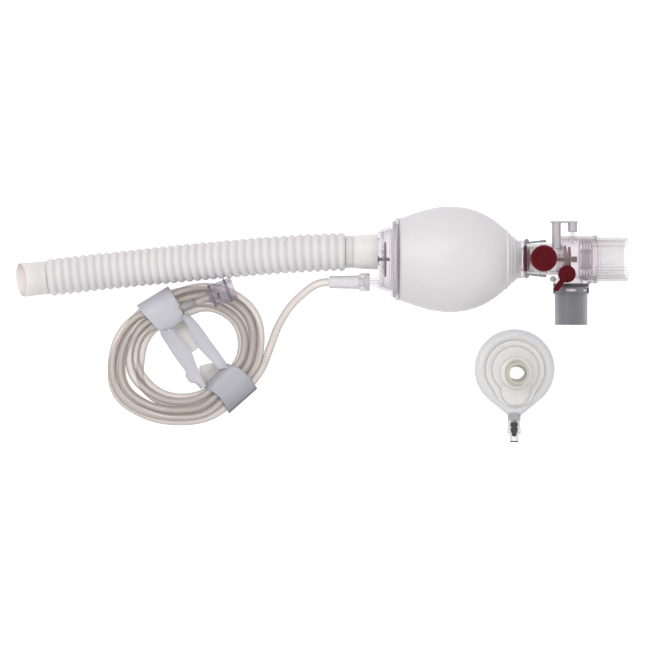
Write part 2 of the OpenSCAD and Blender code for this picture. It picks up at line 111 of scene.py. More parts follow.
class Shade:
    """A material's node tree, built a node at a time"""

    def __init__(self, name):
        self.mat = bpy.data.materials.new(name)
        self.mat.use_nodes = True
        self.tree = self.mat.node_tree
        self.tree.nodes.clear()
        self.out = self.tree.nodes.new("ShaderNodeOutputMaterial")

    def feed(self, socket, value):
        """Links a socket to another node's output, or sets its constant"""
        if isinstance(value, bpy.types.NodeSocket):
            self.tree.links.new(value, socket)
        else:
            socket.default_value = value

    def add(self, kind, **values):
        """A node with its inputs and settings by name"""
        node = self.tree.nodes.new("ShaderNode" + kind)
        for key, value in values.items():
            name = key.replace("_", " ")
            if name in node.inputs:
                self.feed(node.inputs[name], value)
            else:
                setattr(node, key, value)
        return node

    def noise(self, scale, detail=3.0):
        where = self.add("TexCoord").outputs["Object"]
        return self.add("TexNoise", Vector=where, Scale=scale, Detail=detail,
                        Roughness=0.55).outputs[0]

    def ramp(self, value, low, high, a, b):
        node = self.add("ValToRGB", Fac=value)
        for stop, place, colour in zip(node.color_ramp.elements, (low, high), (a, b)):
            stop.position = place
            stop.color = colour
        return node.outputs[0]

    def spread(self, value, low, high, a, b):
        """The value's range from low to high mapped to a to b"""
        node = self.add("MapRange", Value=value)
        for socket, number in zip(node.inputs[1:5], (low, high, a, b)):
            socket.default_value = number
        return node.outputs[0]

    def mixed(self, factor, a, b):
        """One colour turning into another"""
        node = self.add("Mix", data_type="RGBA")
        for k, value in zip((0, 6, 7), (factor, a, b)):
            self.feed(node.inputs[k], value)
        return node.outputs[2]

    def sums(self, operation, *values):
        node = self.add("Math", operation=operation)
        for socket, value in zip(node.inputs, values):
            self.feed(socket, value)
        return node.outputs[0]

    def facing(self):
        """0 where the surface faces the eye, 1 where it turns away"""
        return self.add("LayerWeight", Blend=0.5).outputs["Facing"]

    def bump(self, height, strength, distance):
        return self.add("Bump", Height=height, Strength=strength, Distance=distance).outputs[0]

    def finish(self, shader):
        self.tree.links.new(shader, self.out.inputs["Surface"])
        return self.mat


def milky(name, face, edge, rough=0.38, soft=0.35, grain=900.0):
    """Milky translucent polymer: lit through its wall, with painted shade where it turns away from
    the eye
    """
    s = Shade(name)
    dim, bright = linear([c - 3 for c in face]), linear([c + 2 for c in face])
    cloud = s.ramp(s.noise(45.0), 0.35, 0.7, dim, bright)
    # The edge colour mixed in where the wall turns away from the eye is painted shade
    turned = s.spread(s.facing(), 0.06, 0.9, 0.0, 1.0)
    colour = s.mixed(turned, cloud, linear(edge))
    fine = s.bump(s.noise(grain, 4.0), 0.25, 0.00012)
    gloss = s.spread(s.noise(160.0), 0.3, 0.7, rough - 0.05, rough + 0.06)
    body = s.add("BsdfPrincipled", Base_Color=colour, Roughness=gloss, Normal=fine)
    body.inputs["Subsurface Weight"].default_value = soft
    body.inputs["Subsurface Radius"].default_value = (1.0, 0.9, 0.85)
    body.inputs["Subsurface Scale"].default_value = 0.003
    body.inputs["IOR"].default_value = 1.42
    return s.finish(body.outputs[0])


def clear(name, face, edge, least=0.1, most=0.75, rough=0.08, grain=260.0, gleam=None,
          tint=(253, 252, 253), steepness=2.2, swirl=0.08):
    """Clear moulded plastic: see-through face on, glossier where its wall turns away and greyer
    there in painted shade; gleam paints a highlight where the wall faces the eye
    """
    s = Shade(name)
    flow = s.noise(grain, 3.0)
    turned = s.facing()
    steep = s.sums("POWER", turned, steepness)
    wavy = s.sums("MULTIPLY_ADD", flow, swirl, steep)
    share = s.spread(wavy, 0.03, 1.0, least, most)
    front = linear(face)
    # gleam is a painted highlight along the middle, where the wall faces the eye
    if gleam:
        front = s.mixed(s.spread(turned, 0.0, 0.13, 0.0, 1.0), linear(gleam), front)
    # The edge colour is painted shade where the wall turns away
    colour = s.mixed(turned, front, linear(edge))
    gloss = s.spread(flow, 0.3, 0.7, rough, rough + 0.08)
    normal = s.bump(flow, 0.12, 0.0001)
    body = s.add("BsdfPrincipled", Base_Color=colour, Roughness=gloss, Normal=normal)
    body.inputs["IOR"].default_value = 1.5
    through = s.add("BsdfTransparent", Color=linear(tint))
    mix = s.add("MixShader", Fac=share)
    s.feed(mix.inputs[1], through.outputs[0])
    s.feed(mix.inputs[2], body.outputs[0])
    return s.finish(mix.outputs[0])


def solid(name, face, mottle, rough=0.42, grain=700.0, edge=0.0003, dull=0.5, turned=None):
    """Opaque moulded plastic or rubber with rounded edges and a fine moulding grain; turned, where
    given, is painted where the surface turns away: painted shade when darker, a painted highlight
    when lighter
    """
    s = Shade(name)
    cloud = s.ramp(s.noise(90.0, 4.0), 0.3, 0.72, linear(mottle), linear(face))
    # Painted shade or painted highlight where the surface turns away
    if turned:
        cloud = s.mixed(s.spread(s.facing(), 0.03, 0.5, 0.0, 1.0), cloud, linear(turned))
    speck = s.noise(grain, 5.0)
    gloss = s.spread(s.noise(240.0), 0.3, 0.7, rough - 0.06, rough + 0.08)
    round_off = s.add("Bevel", Radius=edge)
    grainy = s.add("Bump", Height=speck, Strength=0.35, Distance=0.00008,
                   Normal=round_off.outputs[0])
    body = s.add("BsdfPrincipled", Base_Color=cloud, Roughness=gloss, Normal=grainy.outputs[0])
    body.inputs["Specular IOR Level"].default_value = dull
    return s.finish(body.outputs[0])


def make_materials():
    """Every look by its key: display colours are face on first, then the painted shade where the
    surface turns away, or mottled
    """
    return {
        "bag": milky("bag_silicone", (233, 230, 231), (192, 188, 192), rough=0.36, soft=0.4),
        "tube": milky("reservoir_plastic", (236, 231, 232), (198, 193, 196), rough=0.45),
        "cuff": milky("cuff_plastic", (234, 229, 227), (190, 186, 187), rough=0.42, soft=0.85),
        "adapter": milky("adapter_plastic", (241, 237, 235), (214, 210, 210), rough=0.3),
        "sleeve": clear("sleeve_vinyl", (198, 197, 198), (132, 131, 134), 0.36, 0.94, rough=0.32,
                        grain=60.0, steepness=1.6, swirl=0.03),
        "nut": clear("nut_plastic", (222, 221, 225), (146, 144, 151), 0.26, 0.9, rough=0.15,
                     grain=60.0, steepness=1.6),
        "clear": clear("clear_plastic", (218, 214, 216), (140, 135, 142), 0.06, 0.85),
        "chamber": clear("chamber_plastic", (218, 210, 211), (140, 130, 136), 0.13, 0.85),
        "housing": clear("housing_plastic", (222, 220, 226), (182, 179, 189), 0.12, 0.66),
        "collar": clear("collar_plastic", (212, 203, 212), (158, 150, 163), 0.22, 0.8),
        "port": clear("port_plastic", (226, 224, 222), (176, 172, 172), 0.24, 0.72),
        "rib": clear("rib_plastic", (206, 202, 200), (178, 172, 172), 0.2, 0.5),
        "baffle": clear("baffle_plastic", (216, 206, 207), (150, 134, 138), 0.02, 0.6),
        "ring": clear("baffle_ring_plastic", (156, 128, 134), (118, 92, 98), 0.3, 0.8),
        "hose": clear("tubing_vinyl", (207, 201, 198), (126, 118, 114), 0.36, 0.95, rough=0.1,
                      grain=60.0, gleam=(240, 237, 235), tint=(251, 247, 244), steepness=1.5,
                      swirl=0.03),
        "source": clear("source_plastic", (200, 196, 206), (104, 98, 118), 0.2, 0.85),
        "source_rim": clear("source_rim_plastic", (150, 145, 160), (92, 86, 104), 0.6, 1.0),
        "lug": clear("lug_plastic", (188, 191, 194), (150, 152, 156), 0.55, 0.95),
        "cuff_valve": clear("valve_plastic", (196, 194, 202), (88, 84, 98), 0.07, 1.0),
        "stem": milky("stem_vinyl", (184, 183, 187), (142, 140, 147), rough=0.3, soft=0.3),
        # Tie film: turned is painted shade where the film turns away; the lower wrap's look is a
        # darker copy in painted shade, deeper still where it turns away
        "tie": solid("tie_film", (206, 205, 213), (202, 201, 209), rough=0.45, grain=1500.0,
                     edge=0.0002, turned=(172, 170, 180)),
        "tie_shaded": solid("tie_film_painted_shade", (190, 189, 197), (185, 184, 192), rough=0.4, grain=1500.0,
                         edge=0.0002, turned=(88, 85, 94)),
        "tongue": milky("tie_underside", (226, 224, 219), (206, 204, 198), rough=0.5, soft=0.2),
        # The red plastic's turned colour is a painted highlight on the caps' rounded rims
        "red": solid("red_plastic", (96, 4, 20), (80, 2, 13), rough=0.5, edge=0.0005, dull=0.14,
                     turned=(122, 26, 46)),
        "rubber": solid("red_rubber", (134, 6, 30), (110, 2, 22), rough=0.5, dull=0.2),
        "band": solid("band_rubber", (92, 34, 54), (74, 24, 44), rough=0.4, dull=0.3),
        # The grey plastic's turned colour is a painted sheen along the connector's rounded sides
        "grey": solid("grey_plastic", (122, 122, 128), (115, 115, 121), rough=0.35, dull=0.5,
                      turned=(148, 148, 156)),
        "clip": solid("clip_plastic", (146, 146, 150), (132, 132, 138), rough=0.36, dull=0.5),
        # The pale grey's turned colour is painted shade where the cap turns away
        "pale": solid("pale_grey_plastic", (205, 199, 204), (197, 191, 197), rough=0.45,
                      turned=(160, 154, 162)),
        "seal": solid("seal_rubber", (88, 88, 86), (76, 76, 74), rough=0.6),
        "poppet": solid("poppet_rubber", (216, 212, 208), (206, 202, 198), rough=0.55),
        "steel": solid("spring_steel", (176, 178, 182), (150, 152, 156), rough=0.25),
        "window": solid("window_ring", (240, 238, 238), (230, 228, 228), rough=0.5),
        "slot": solid("slot_shadow", (92, 88, 96), (80, 76, 84), rough=0.6),
        "dome": milky("dome_plastic", (233, 232, 230), (178, 176, 170), rough=0.26, soft=0.4),
        "hub": milky("hub_plastic", (240, 238, 234), (190, 186, 175), rough=0.26, soft=0.4),
        # A darker tan: painted shade for the connector's bore walls, pin and boss, and the painted
        # shadow round the collar
        "bore": milky("bore_painted_shade", (205, 200, 189), (186, 180, 166), rough=0.35, soft=0.2),
        "cushion": milky("cushion_vinyl", (229, 229, 230), (180, 180, 187), rough=0.2, soft=0.4),
        "core": solid("core_rubber", (10, 18, 12), (6, 12, 8), rough=0.5, dull=0.15),
    }


# ---------------------------------------------------------------- mesh helpers
def ease(t):
    """A smooth step from 0 to 1"""
    return t * t * (3 - 2 * t)


def smooth_path(points, step):
    """Catmull-Rom curve through the points, sampled about a step apart"""
    p = [np.array(q, float) for q in points]
    p = [2 * p[0] - p[1]] + p + [2 * p[-1] - p[-2]]
    out = []
    for a, b, c, d in zip(p, p[1:], p[2:], p[3:]):
        n = max(2, int(np.linalg.norm(c - b) / step + 0.5))
        for i in range(n):
            t = i / n
            out.append(0.5 * (2 * b + (c - a) * t + (2 * a - 5 * b + 4 * c - d) * t * t
                              + (3 * b - a - 3 * c + d) * t ** 3))
    out.append(p[-2])
    return np.array(out)


def even_path(points, count):
    """The same line with its points evenly spaced"""
    points = np.array(points, float)
    gaps = np.linalg.norm(np.diff(points, axis=0), axis=1)
    along = np.concatenate([[0], np.cumsum(gaps)])
    want = np.linspace(0, along[-1], count)
    return np.stack([np.interp(want, along, points[:, k]) for k in range(points.shape[1])], axis=1)


def length_of(points):
    """Length along a line"""
    return float(np.linalg.norm(np.diff(points, axis=0), axis=1).sum())


def piece(name, verts, faces, material, body, slot, *nodes):
    """A smooth mesh piece, from millimetres, that rides on a body and stands for CAD nodes"""
    mesh = bpy.data.meshes.new(name)
    mesh.from_pydata([tuple(v * MM for v in p) for p in verts], [], faces)
    mesh.update()
    mesh.polygons.foreach_set("use_smooth", [True] * len(mesh.polygons))
    mesh.materials.append(material)
    obj = bpy.data.objects.new(name, mesh)
    bpy.context.collection.objects.link(obj)
    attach(obj, body)
    if nodes:
        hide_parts(*nodes)
    return obj


def skin(rings, closed=False, lids=False):
    """Quads over rings of equal counts; a closed skin joins its last ring to its first"""
    n, m = len(rings[0]), len(rings)
    verts = [p for r in rings for p in r]
    faces = []
    for k in range(m if closed else m - 1):
        for i in range(n):
            j, q = (i + 1) % n, (k + 1) % m
            faces.append((k * n + i, k * n + j, q * n + j, q * n + i))
    if lids:
        faces.append(tuple(range(n - 1, -1, -1)))
        faces.append(tuple((m - 1) * n + i for i in range(n)))
    return verts, faces


def turn_frame(direction):
    """Unit vectors along a direction and square to it, the second one level"""
    d = np.array(direction, float)
    d /= np.linalg.norm(d)
    side = np.cross([0, 0, 1.0], d)
    side = side / np.linalg.norm(side) if np.linalg.norm(side) > 1e-6 else np.array([0, 1.0, 0])
    return d, side, np.cross(d, side)


def lathe(profile, origin, direction, n=96, ripple=None):
    """Rings of a turned shape from (radius, station) pairs; ripple(a, r, x) adds to a radius"""
    d, u, v = turn_frame(direction)
    rings = []
    for r, x in profile:
        ring = []
        for i in range(n):
            a = 2 * math.pi * i / n
            q = r + (ripple(a, r, x) if ripple else 0.0)
            ring.append(np.array(origin) + x * d + q * (math.cos(a) * u + math.sin(a) * v))
        rings.append(ring)
    return rings


def rounded(profile, radius, steps=2):
    """A closed profile with each corner rounded"""
    out = []
    n = len(profile)
    for i in range(n):
        a, b, c = (np.array(profile[(i + k) % n], float) for k in (-1, 0, 1))
        p, q = a - b, c - b
        lp, lq = np.linalg.norm(p), np.linalg.norm(q)
        r = min(radius, lp * 0.45, lq * 0.45)
        p, q = b + p / lp * r, b + q / lq * r
        for k in range(steps + 1):
            t = k / steps
            out.append((1 - t) ** 2 * p + 2 * t * (1 - t) * b + t * t * q)
    return out


def turned_piece(name, profile, at, axis, n, edge, material, body, slot, *nodes, lids=False):
    """A turned piece from its profile with corners rounded by edge: a closed loop, or with lids"""
    rings = lathe(rounded(profile, edge) if edge else profile, at, axis, n)
    return piece(name, *skin(rings, closed=not lids, lids=lids), material, body, slot, *nodes)


def circle(n):
    """Cosine and sine at n even steps"""
    return [(math.cos(2 * math.pi * i / n), math.sin(2 * math.pi * i / n)) for i in range(n)]


def bezier(a, b, c, d, steps, first=0):
    """Points on a cubic curve"""
    a, b, c, d = (np.array(p, float) for p in (a, b, c, d))
    return [a * (1 - t) ** 3 + 3 * b * t * (1 - t) ** 2 + 3 * c * t * t * (1 - t) + d * t ** 3
            for t in (i / steps for i in range(first, steps + 1))]


# ---------------------------------------------------------------- oxygen tubing
# The free run from the bag's nipple, as the CAD part has it
FREE_RUN = [
    (6.2, 29.4, 35.7), (2, 29.2, 35.5), (-4, 27, 34.5), (-12, 21, 31), (-20, 13, 26),
    (-26, 4, 20.5), (-30, -4, 15.5), (-33, -12, 11), (-36, -20, 8), (-38, -26, 6.5),
    (-39.9, -31.4, 5.7),
]
# The bundle's outer and inner reach from the coil's centre, every 30 degrees from +X
REACH_OUT = [54.5, 60.3, 57.3, 50.0, 46.8, 47.6, 53.8, 57.8, 53.0, 49.5, 49.8, 51.2]
REACH_IN = [38.3, 39, 34, 27.8, 25.2, 27.8, 31, 33.2, 31.6, 29, 28.3, 31.5]
# Where each turn lies: share of the way in, and layer
TURNS = [(0.02, 0), (0.36, 0), (0.68, 0), (1.0, 0), (0.84, 1), (0.5, 1), (0.2, 1), (0.42, 1.9)]
FIRST_TURN, LAST_TURN = -20.0, -2394.0      # degrees, clockwise
# Where the turns part into two bunches: angle, radius, width in degrees, and how far
GAP_TURN, GAP_R, GAP_WIDE, GAP_PUSH = 205.0, 40.6, 33, 2.8
STRAY = 0.10                                # how far a turn strays, as a share of the way in
LOWEST_Z, LAYER_RISE = 3.2, 5.0             # where the turns start from
# Each wrap's centre, direction across the bundle, and height where its film starts to lean in
WRAPS = [
    (np.array([-108.0, 9.8]), 120.8, 7.5),
    (np.array([-62.9, -43.5]), -48.0, 3.4),
]
WRAP_TOP, WRAP_SIDE, WRAP_INNER_SIDE = 14.2, 8.4, 9.3
WRAP_REACH, WRAP_WIDE, WRAP_FILM = 20, 26, 0.95
WRAP_FADE, ROOF_REACH = 8, 14               # its hold fades at both ends, and its top is shorter
LEAN_SLOPE, LEAN_HIGH = 0.9, 6
LINK = 4.0                                  # between the settling line's points
STRAND_GAP = HOSE_D * 1.02
ROUNDS, QUICK_ROUNDS = 420, 60
SAG, STIFFNESS, SHOVE, TAUTNESS = 0.08, 0.6, 0.36, 0.7      # strengths in each round
HOMING, HOMING_AT_FIRST = 0.04, 0.12        # pull back to the starting line, and its fading extra


def reach(table, degrees):
    """The table's value at an angle"""
    t = (degrees % 360) / 30
    i, f = int(t) % 12, ease(t - int(t))
    return table[i] * (1 - f) + table[(i + 1) % 12] * f


def source_axis():
    """Direction from the tubing into the source connector"""
    a = math.radians(SOURCE_TILT)
    return np.array([math.cos(a), math.sin(a), 0.0])


def hose_start():
    """The tubing's line before it settles: the free run, loose turns, then the connector"""
    run = smooth_path(FREE_RUN, LINK)
    turns = []
    degrees = FIRST_TURN
    while degrees > LAST_TURN:
        t = (FIRST_TURN - degrees) / 360
        k = min(int(t), len(TURNS) - 2)
        f = ease(min(max((t - k) / 0.9, 0), 1))
        share = TURNS[k][0] * (1 - f) + TURNS[k + 1][0] * f
        layer = TURNS[k][1] * (1 - f) + TURNS[k + 1][1] * f
        stray = math.sin(math.radians(degrees * 0.83 + 70 * k))
        share += STRAY * stray * (0.3 + 0.7 * min(1, t))
        inner = reach(REACH_IN, degrees) + HOSE_D / 2
        outer = reach(REACH_OUT, degrees) - HOSE_D / 2
        r = outer + (inner - outer) * min(max(share, 0), 1)
        apart = math.exp(-(((degrees % 360) - GAP_TURN) / GAP_WIDE) ** 2)
        r += GAP_PUSH * apart * math.tanh((r - GAP_R) / 1.5)
        a = math.radians(degrees)
        turns.append([COIL_AT[0] + r * math.cos(a), COIL_AT[1] + r * math.sin(a),
                      LOWEST_Z + LAYER_RISE * layer])
        degrees -= math.degrees(LINK / r)
    end = SOURCE_AT - 6.5 * source_axis()
    tail = [end - 15 * source_axis() - [0, 0, 2.5], end - 8 * source_axis() - [0, 0, 0.5], end]
    line = np.concatenate([run[:-1], turns, tail])
    return smooth_path(line, LINK), len(run)


def settle(line, fixed_head, rounds):
    """Lets the turns rest on the table and on each other, a diameter apart, inside the wraps"""
    p = even_path(line, int(length_of(line) / LINK) + 1)
    home = p.copy()
    link = length_of(p) / (len(p) - 1)
    n = len(p)
    loose = np.ones(n, bool)
    loose[:fixed_head] = False
    loose[-4:] = False
    near = np.abs(np.subtract.outer(np.arange(n), np.arange(n))) < 4
    for step in range(rounds):
        cool = 1 - step / rounds
        move = np.zeros_like(p)
        move[:, 2] -= SAG
        move[:, :2] += (home - p)[:, :2] * (HOMING + HOMING_AT_FIRST * cool)
        bend = np.zeros_like(p)
        bend[2:-2] = (-p[:-4] + 4 * p[1:-3] + 4 * p[3:-1] - p[4:]) / 6 - p[2:-2]
        move += STIFFNESS * bend
        p[loose] += move[loose]
        for _ in range(3):
            gap = p[None, :, :] - p[:, None, :]
            dist = np.sqrt((gap ** 2).sum(-1)) + 1e-9
            push = np.where((dist < STRAND_GAP) & ~near, STRAND_GAP - dist, 0.0)
            shove = (-gap / dist[:, :, None] * push[:, :, None]).sum(1) * SHOVE
            p[loose] += shove[loose]
            seg = p[1:] - p[:-1]
            size = np.linalg.norm(seg, axis=1)
            fix = seg * ((size - link) / size)[:, None] * 0.5
            pull = np.zeros_like(p)
            pull[:-1] += fix
            pull[1:] -= fix
            p[loose] += pull[loose] * TAUTNESS
            hold_in(p, loose)
    for _ in range(4):
        p[loose] += 0.25 * (np.roll(p, 1, 0) + np.roll(p, -1, 0) - 2 * p)[loose]
    return p


def hold_in(p, loose):
    """Keeps the turns above the table and under the wraps"""
    floor = np.full(len(p), HOSE_D / 2 + 0.05)
    roof = np.full(len(p), 100.0)
    for at, turn, lean in WRAPS:
        a = math.radians(turn)
        across, along = np.array([math.cos(a), math.sin(a)]), np.array([-math.sin(a), math.cos(a)])
        d = p[:, :2] - at
        s, t = d @ across, d @ along
        inside = (np.abs(t) < WRAP_REACH) & (np.abs(s) < WRAP_WIDE) & loose
        outer_side = WRAP_SIDE - LEAN_SLOPE * np.clip(p[:, 2] - lean, 0, LEAN_HIGH)
        side = np.where(s > 0, outer_side, WRAP_INNER_SIDE)
        over = np.clip(np.abs(s) - side, 0, None) * np.sign(s)
        weight = np.clip((WRAP_REACH - np.abs(t)) / WRAP_FADE, 0, 1)
        p[inside, :2] -= (over * weight * 0.6)[inside, None] * across
        floor[inside] += WRAP_FILM * weight[inside]
        roof[inside & (np.abs(t) < ROOF_REACH)] = WRAP_TOP - 1.0 - HOSE_D / 2
    low = loose & (p[:, 2] < floor)
    p[low, 2] = floor[low]
    high = loose & (p[:, 2] > roof)
    p[high, 2] = roof[high]


def make_hose(mats):
    """The oxygen tubing as one round spline; returns it and its centre line"""
    line, head = hose_start()
    line = settle(line, head - 5, ROUNDS)
    fine = smooth_path(line, 2.0)
    curve = bpy.data.curves.new("oxygen_hose", "CURVE")
    curve.dimensions = "3D"
    curve.bevel_depth = HOSE_D / 2 * MM
    curve.bevel_resolution = 6
    curve.use_fill_caps = True
    spline = curve.splines.new("POLY")
    spline.points.add(len(fine) - 1)
    for point, where in zip(spline.points, fine):
        point.co = (*(where * MM), 1)
    spline.use_smooth = True
    curve.materials.append(mats["hose"])
    obj = bpy.data.objects.new("oxygen_hose", curve)
    bpy.context.collection.objects.link(obj)
    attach(obj, "root")
    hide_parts("oxygen_tube", "oxygen_coil")
    return obj, fine


def make_source(mats):
    """The cup connector with its two flanges, a dark filler of painted shadow for its slot, and the
    sleeve on the tubing
    """
    axis = source_axis()
    finish = ("root", "source_plastic")
    cup = [(3.0, -8), (3.3, -8), (3.4, -6.4), (7.0, -5.8), (7.7, -4.6), (7.8, 5.2), (7.7, 7.4),
           (8.1, 8.2), (7.7, 8.7), (8.1, 9.6), (7.7, 10.1), (7.9, 11.0), (6.2, 11.0),
           (6.2, -2.0), (3.0, -2.6)]
    pieces = [turned_piece("source_cup", cup, SOURCE_AT, axis, 96, 0.2, mats["source"], *finish,
                           "source_connector")]
    wide = 8.5
    for name, at, deep in (("near", -5.0, 0.75), ("far", 6.2, 0.6)):
        rim = [(7.5, at - deep), (wide - 0.2, at - deep), (wide, at - deep + 0.3),
               (wide, at + deep - 0.3), (wide - 0.2, at + deep), (7.5, at + deep)]
        pieces.append(turned_piece(f"source_rim_{name}", rim, SOURCE_AT, axis, 96, 0.15,
                                   mats["source_rim"], *finish))
    # A dark filler in the slot: painted shadow
    rings = []
    slot_x, slot_r, slot_top = -0.4, 7.7, 7.95
    for k in range(9):
        a = math.radians(-96 + 32 * k / 8)
        out = -math.sin(a) * np.array([0, 0, 1]) + math.cos(a) * np.array([axis[1], -axis[0], 0])
        half = 0.55 if 0 < k < 8 else 0.35
        rings.append([SOURCE_AT + x * axis + q * out for x, q in
                      ((slot_x - half, slot_r), (slot_x + half, slot_r),
                       (slot_x + half, slot_top), (slot_x - half, slot_top))])
    pieces.append(piece("source_slot_shadow", *skin(rings, lids=True), mats["slot"], *finish))
    sleeve = [(2.9, -26), (3.0, -26), (3.05, -18.5), (3.6, -18.3), (3.6, -17.7), (2.9, -17.7)]
    pieces.append(turned_piece("source_sleeve", sleeve, SOURCE_AT + [0, 0, 2.6],
                               axis + [0, 0, 0.16], 48, 0.12, mats["sleeve"], *finish))
    return pieces


def patch(name, left, right, material, thick, arch):
    """A strip of film between two edge lines, arched between them where it is off the table"""
    n, w = 40, 10
    a, b = even_path(smooth_path(left, 1.0), n), even_path(smooth_path(right, 1.0), n)
    verts, faces = [], []
    for i in range(n):
        for j in range(w + 1):
            t = j / w
            q = a[i] * (1 - t) + b[i] * t
            q = q + np.array([0, 0, arch * 4 * t * (1 - t) * min(1, q[2] / 6)])
            verts.append(q)
    for i in range(n - 1):
        for j in range(w):
            k = i * (w + 1) + j
            faces.append((k, k + 1, k + w + 2, k + w + 1))
    obj = piece(name, verts, faces, material, "root", "tie_film")
    add_wall(obj, thick)
    return obj


def add_wall(obj, thick):
    """Gives a film its thickness and softens its edges"""
    wall = obj.modifiers.new("wall", "SOLIDIFY")
    wall.thickness = thick * MM
    wall.offset = 0
    bev = obj.modifiers.new("edge", "BEVEL")
    bev.width = 0.15 * MM
    bev.segments = 2
    bev.limit_method = "ANGLE"


FILM_THICK = 0.6
# Each film of the tie as its two edge lines, from one end to the other
WRAP_1 = (
    [(-108, -5.5, 11), (-112, -1.5, 13.4), (-118, 5, 14), (-122.5, 9.8, 12.6), (-125.8, 13.4, 8.6),
     (-126.3, 13.9, 4.5), (-125, 12.6, 1.2), (-121, 8, 0.45), (-112, -2, 0.45)],
    [(-93, 5, 11), (-94.5, 10.5, 13.4), (-98.5, 18, 14), (-101.5, 22.6, 12.4), (-104.2, 26.5, 8.6),
     (-104.6, 27, 4.5), (-103.5, 25.2, 1.2), (-100, 19, 0.45), (-92, 6, 0.45)],
)
WRAP_2 = (
    [(-80.1, -42.2, 10), (-76, -44, 13), (-72, -46.3, 14), (-68, -50, 13.4), (-64.8, -55.5, 10.4),
     (-63, -59.8, 6.4), (-62.9, -60.5, 3.2), (-64, -58.5, 0.9), (-70, -51, 0.45), (-80, -40, 0.5)],
    [(-64.5, -26, 11), (-59.6, -27.3, 13.4), (-55, -29.4, 14), (-50.5, -33, 12.8),
     (-46.2, -38, 9.8), (-43.6, -42.6, 6.4), (-43.4, -43.3, 3.2), (-44.5, -41.8, 0.9),
     (-50, -36.5, 0.45), (-64, -26, 0.5)],
)
STRAP_A = (
    [(-109.6, -3.5, 12.2), (-108.9, -6.8, 10.6), (-105.3, -12.7, 9.4), (-100.5, -20.5, 8.6),
     (-95.8, -26.8, 8.4), (-92.2, -32, 8.6), (-92.4, -35, 8.6), (-88.9, -39.2, 8.7),
     (-86, -39.3, 9.2), (-81.6, -43.4, 10.6)],
    [(-99.5, -2.5, 12.2), (-98.4, -6.4, 10.6), (-94.2, -10, 9.4), (-90.4, -14.4, 8.8),
     (-88.3, -17.8, 8.6), (-86.8, -22.1, 8.6), (-84.4, -28.4, 8.8), (-81.6, -33.9, 9.4),
     (-79.7, -38.3, 10.8), (-77.6, -41.4, 12.6)],
)
STRAP_B = (
    [(-96, 4.4, 12.6), (-93, 3.2, 11), (-91, -0.8, 9.8), (-87.1, -8.7, 9.0), (-83.2, -15.4, 8.8),
     (-79.3, -19.7, 9.2), (-72.2, -26.8, 11), (-69.5, -30, 12.8)],
    [(-91.4, 9, 12.6), (-90.2, 7.6, 11), (-86.4, 4.2, 9.8), (-80.8, -2.4, 9.0), (-75.3, -10.3, 8.8),
     (-70.6, -16.6, 9.2), (-64.3, -25.6, 11), (-61.5, -28.6, 12.8)],
)
TONGUE_1 = (
    [(-108, 1, 0.6), (-100.5, -5.4, 0.9), (-93.6, -12.2, 2.2), (-89.6, -16.4, 3.2),
     (-87.7, -18.4, 3.4)],
    [(-96, 10, 0.6), (-91.4, 3.6, 0.9), (-87.3, -6, 2.2), (-84.4, -12, 3.2), (-83.4, -14.9, 3.4)],
)
TONGUE_2 = (
    [(-76, -45, 0.6), (-80.6, -38.4, 1.2), (-82.6, -33, 2.4), (-83.6, -28.9, 3.2),
     (-81.9, -27.2, 3.4)],
    [(-56, -30, 0.6), (-64.6, -27, 1.2), (-69.6, -26.6, 2.4), (-74.6, -25.8, 3.2),
     (-78.0, -26.2, 3.4)],
)


def make_tie(mats):
    """The coil tie: two wraps, two straps and the two tongues under them"""
    pieces = []
    for name, (left, right), look, arch in (
        ("tie_wrap_1", WRAP_1, "tie", 0.5), ("tie_wrap_2", WRAP_2, "tie_shaded", 0.8),
        ("tie_strap_a", STRAP_A, "tie", 0.9), ("tie_strap_b", STRAP_B, "tie", 0.9),
        ("tie_tongue_1", TONGUE_1, "tongue", 0.4), ("tie_tongue_2", TONGUE_2, "tongue", 0.4),
    ):
        pieces.append(patch(name, left, right, mats[look], FILM_THICK, arch))
    return pieces


# ---------------------------------------------------------------- bag
def make_bag(mats):
    """The silicone bag with its stepped neck, a 2 mm wall and a faint moulding seam"""
    wall = 2
    side = bezier((27.4, 0), (32.4, 14), (BAG_R, 22), (BAG_R, 35), 26)
    side += bezier((BAG_R, 35), (BAG_R, 50), (30, 62), (20.2, 72), 30, 1)
    neck = [(20.35, 72.3), (20.3, 72.9), (19.8, 73.3), (18.9, 73.4), (18.3, 73.9), (17.7, 75.3),
            (17.4, 75.6), (16.4, 75.9), (15.9, 76.5), (15.3, 77.9), (15.0, 78.2), (14.3, 78.4),
            (13.9, 79.0), (13.5, 79.9), (12.9, 80.3), (NECK_R, 80.6), (NECK_R, BAG_LEN - 0.2),
            (NECK_R - 0.2, BAG_LEN)]
    side += [np.array(p) for p in neck]
    inside = [np.array([p[0] - wall, p[1]]) for p in reversed(side)]
    inside[0] = np.array([NECK_R - 1.9, BAG_LEN])

    def seam(a, r, x):
        ridge = 0.10 * (math.exp(-((math.sin(a - 0.35)) / 0.02) ** 2))
        return ridge if r > 20 and 4 < x < 68 else 0.0

    rings = lathe(side + inside, (BAG_X, AXIS_Y, AXIS_Z), (1, 0, 0), 192, seam)
    piece("bag_shell", *skin(rings, closed=True), mats["bag"], "root", "bag_silicone",
          "squeeze_bag")


# ---------------------------------------------------------------- reservoir tube
TUBE_ASIDE, TUBE_LANDS = 16.9, 0.85         # how far it drifts, and where it reaches the table
CUFF_STRAIGHT, CUFF_BEND_R, CUFF_SKEW = 3.0, 34.0, 0.05


def tube_at(s):
    """The tube's centre at a share s of its length"""
    fall = (1 + math.cos(math.pi * min(1, s / TUBE_LANDS))) / 2
    return np.array([TUBE_X + (TUBE_END_X - TUBE_X) * s, TUBE_Y - TUBE_ASIDE * max(s, 0) ** 1.4,
                     RIDGE_R + (AXIS_Z - RIDGE_R) * fall + 0.05])


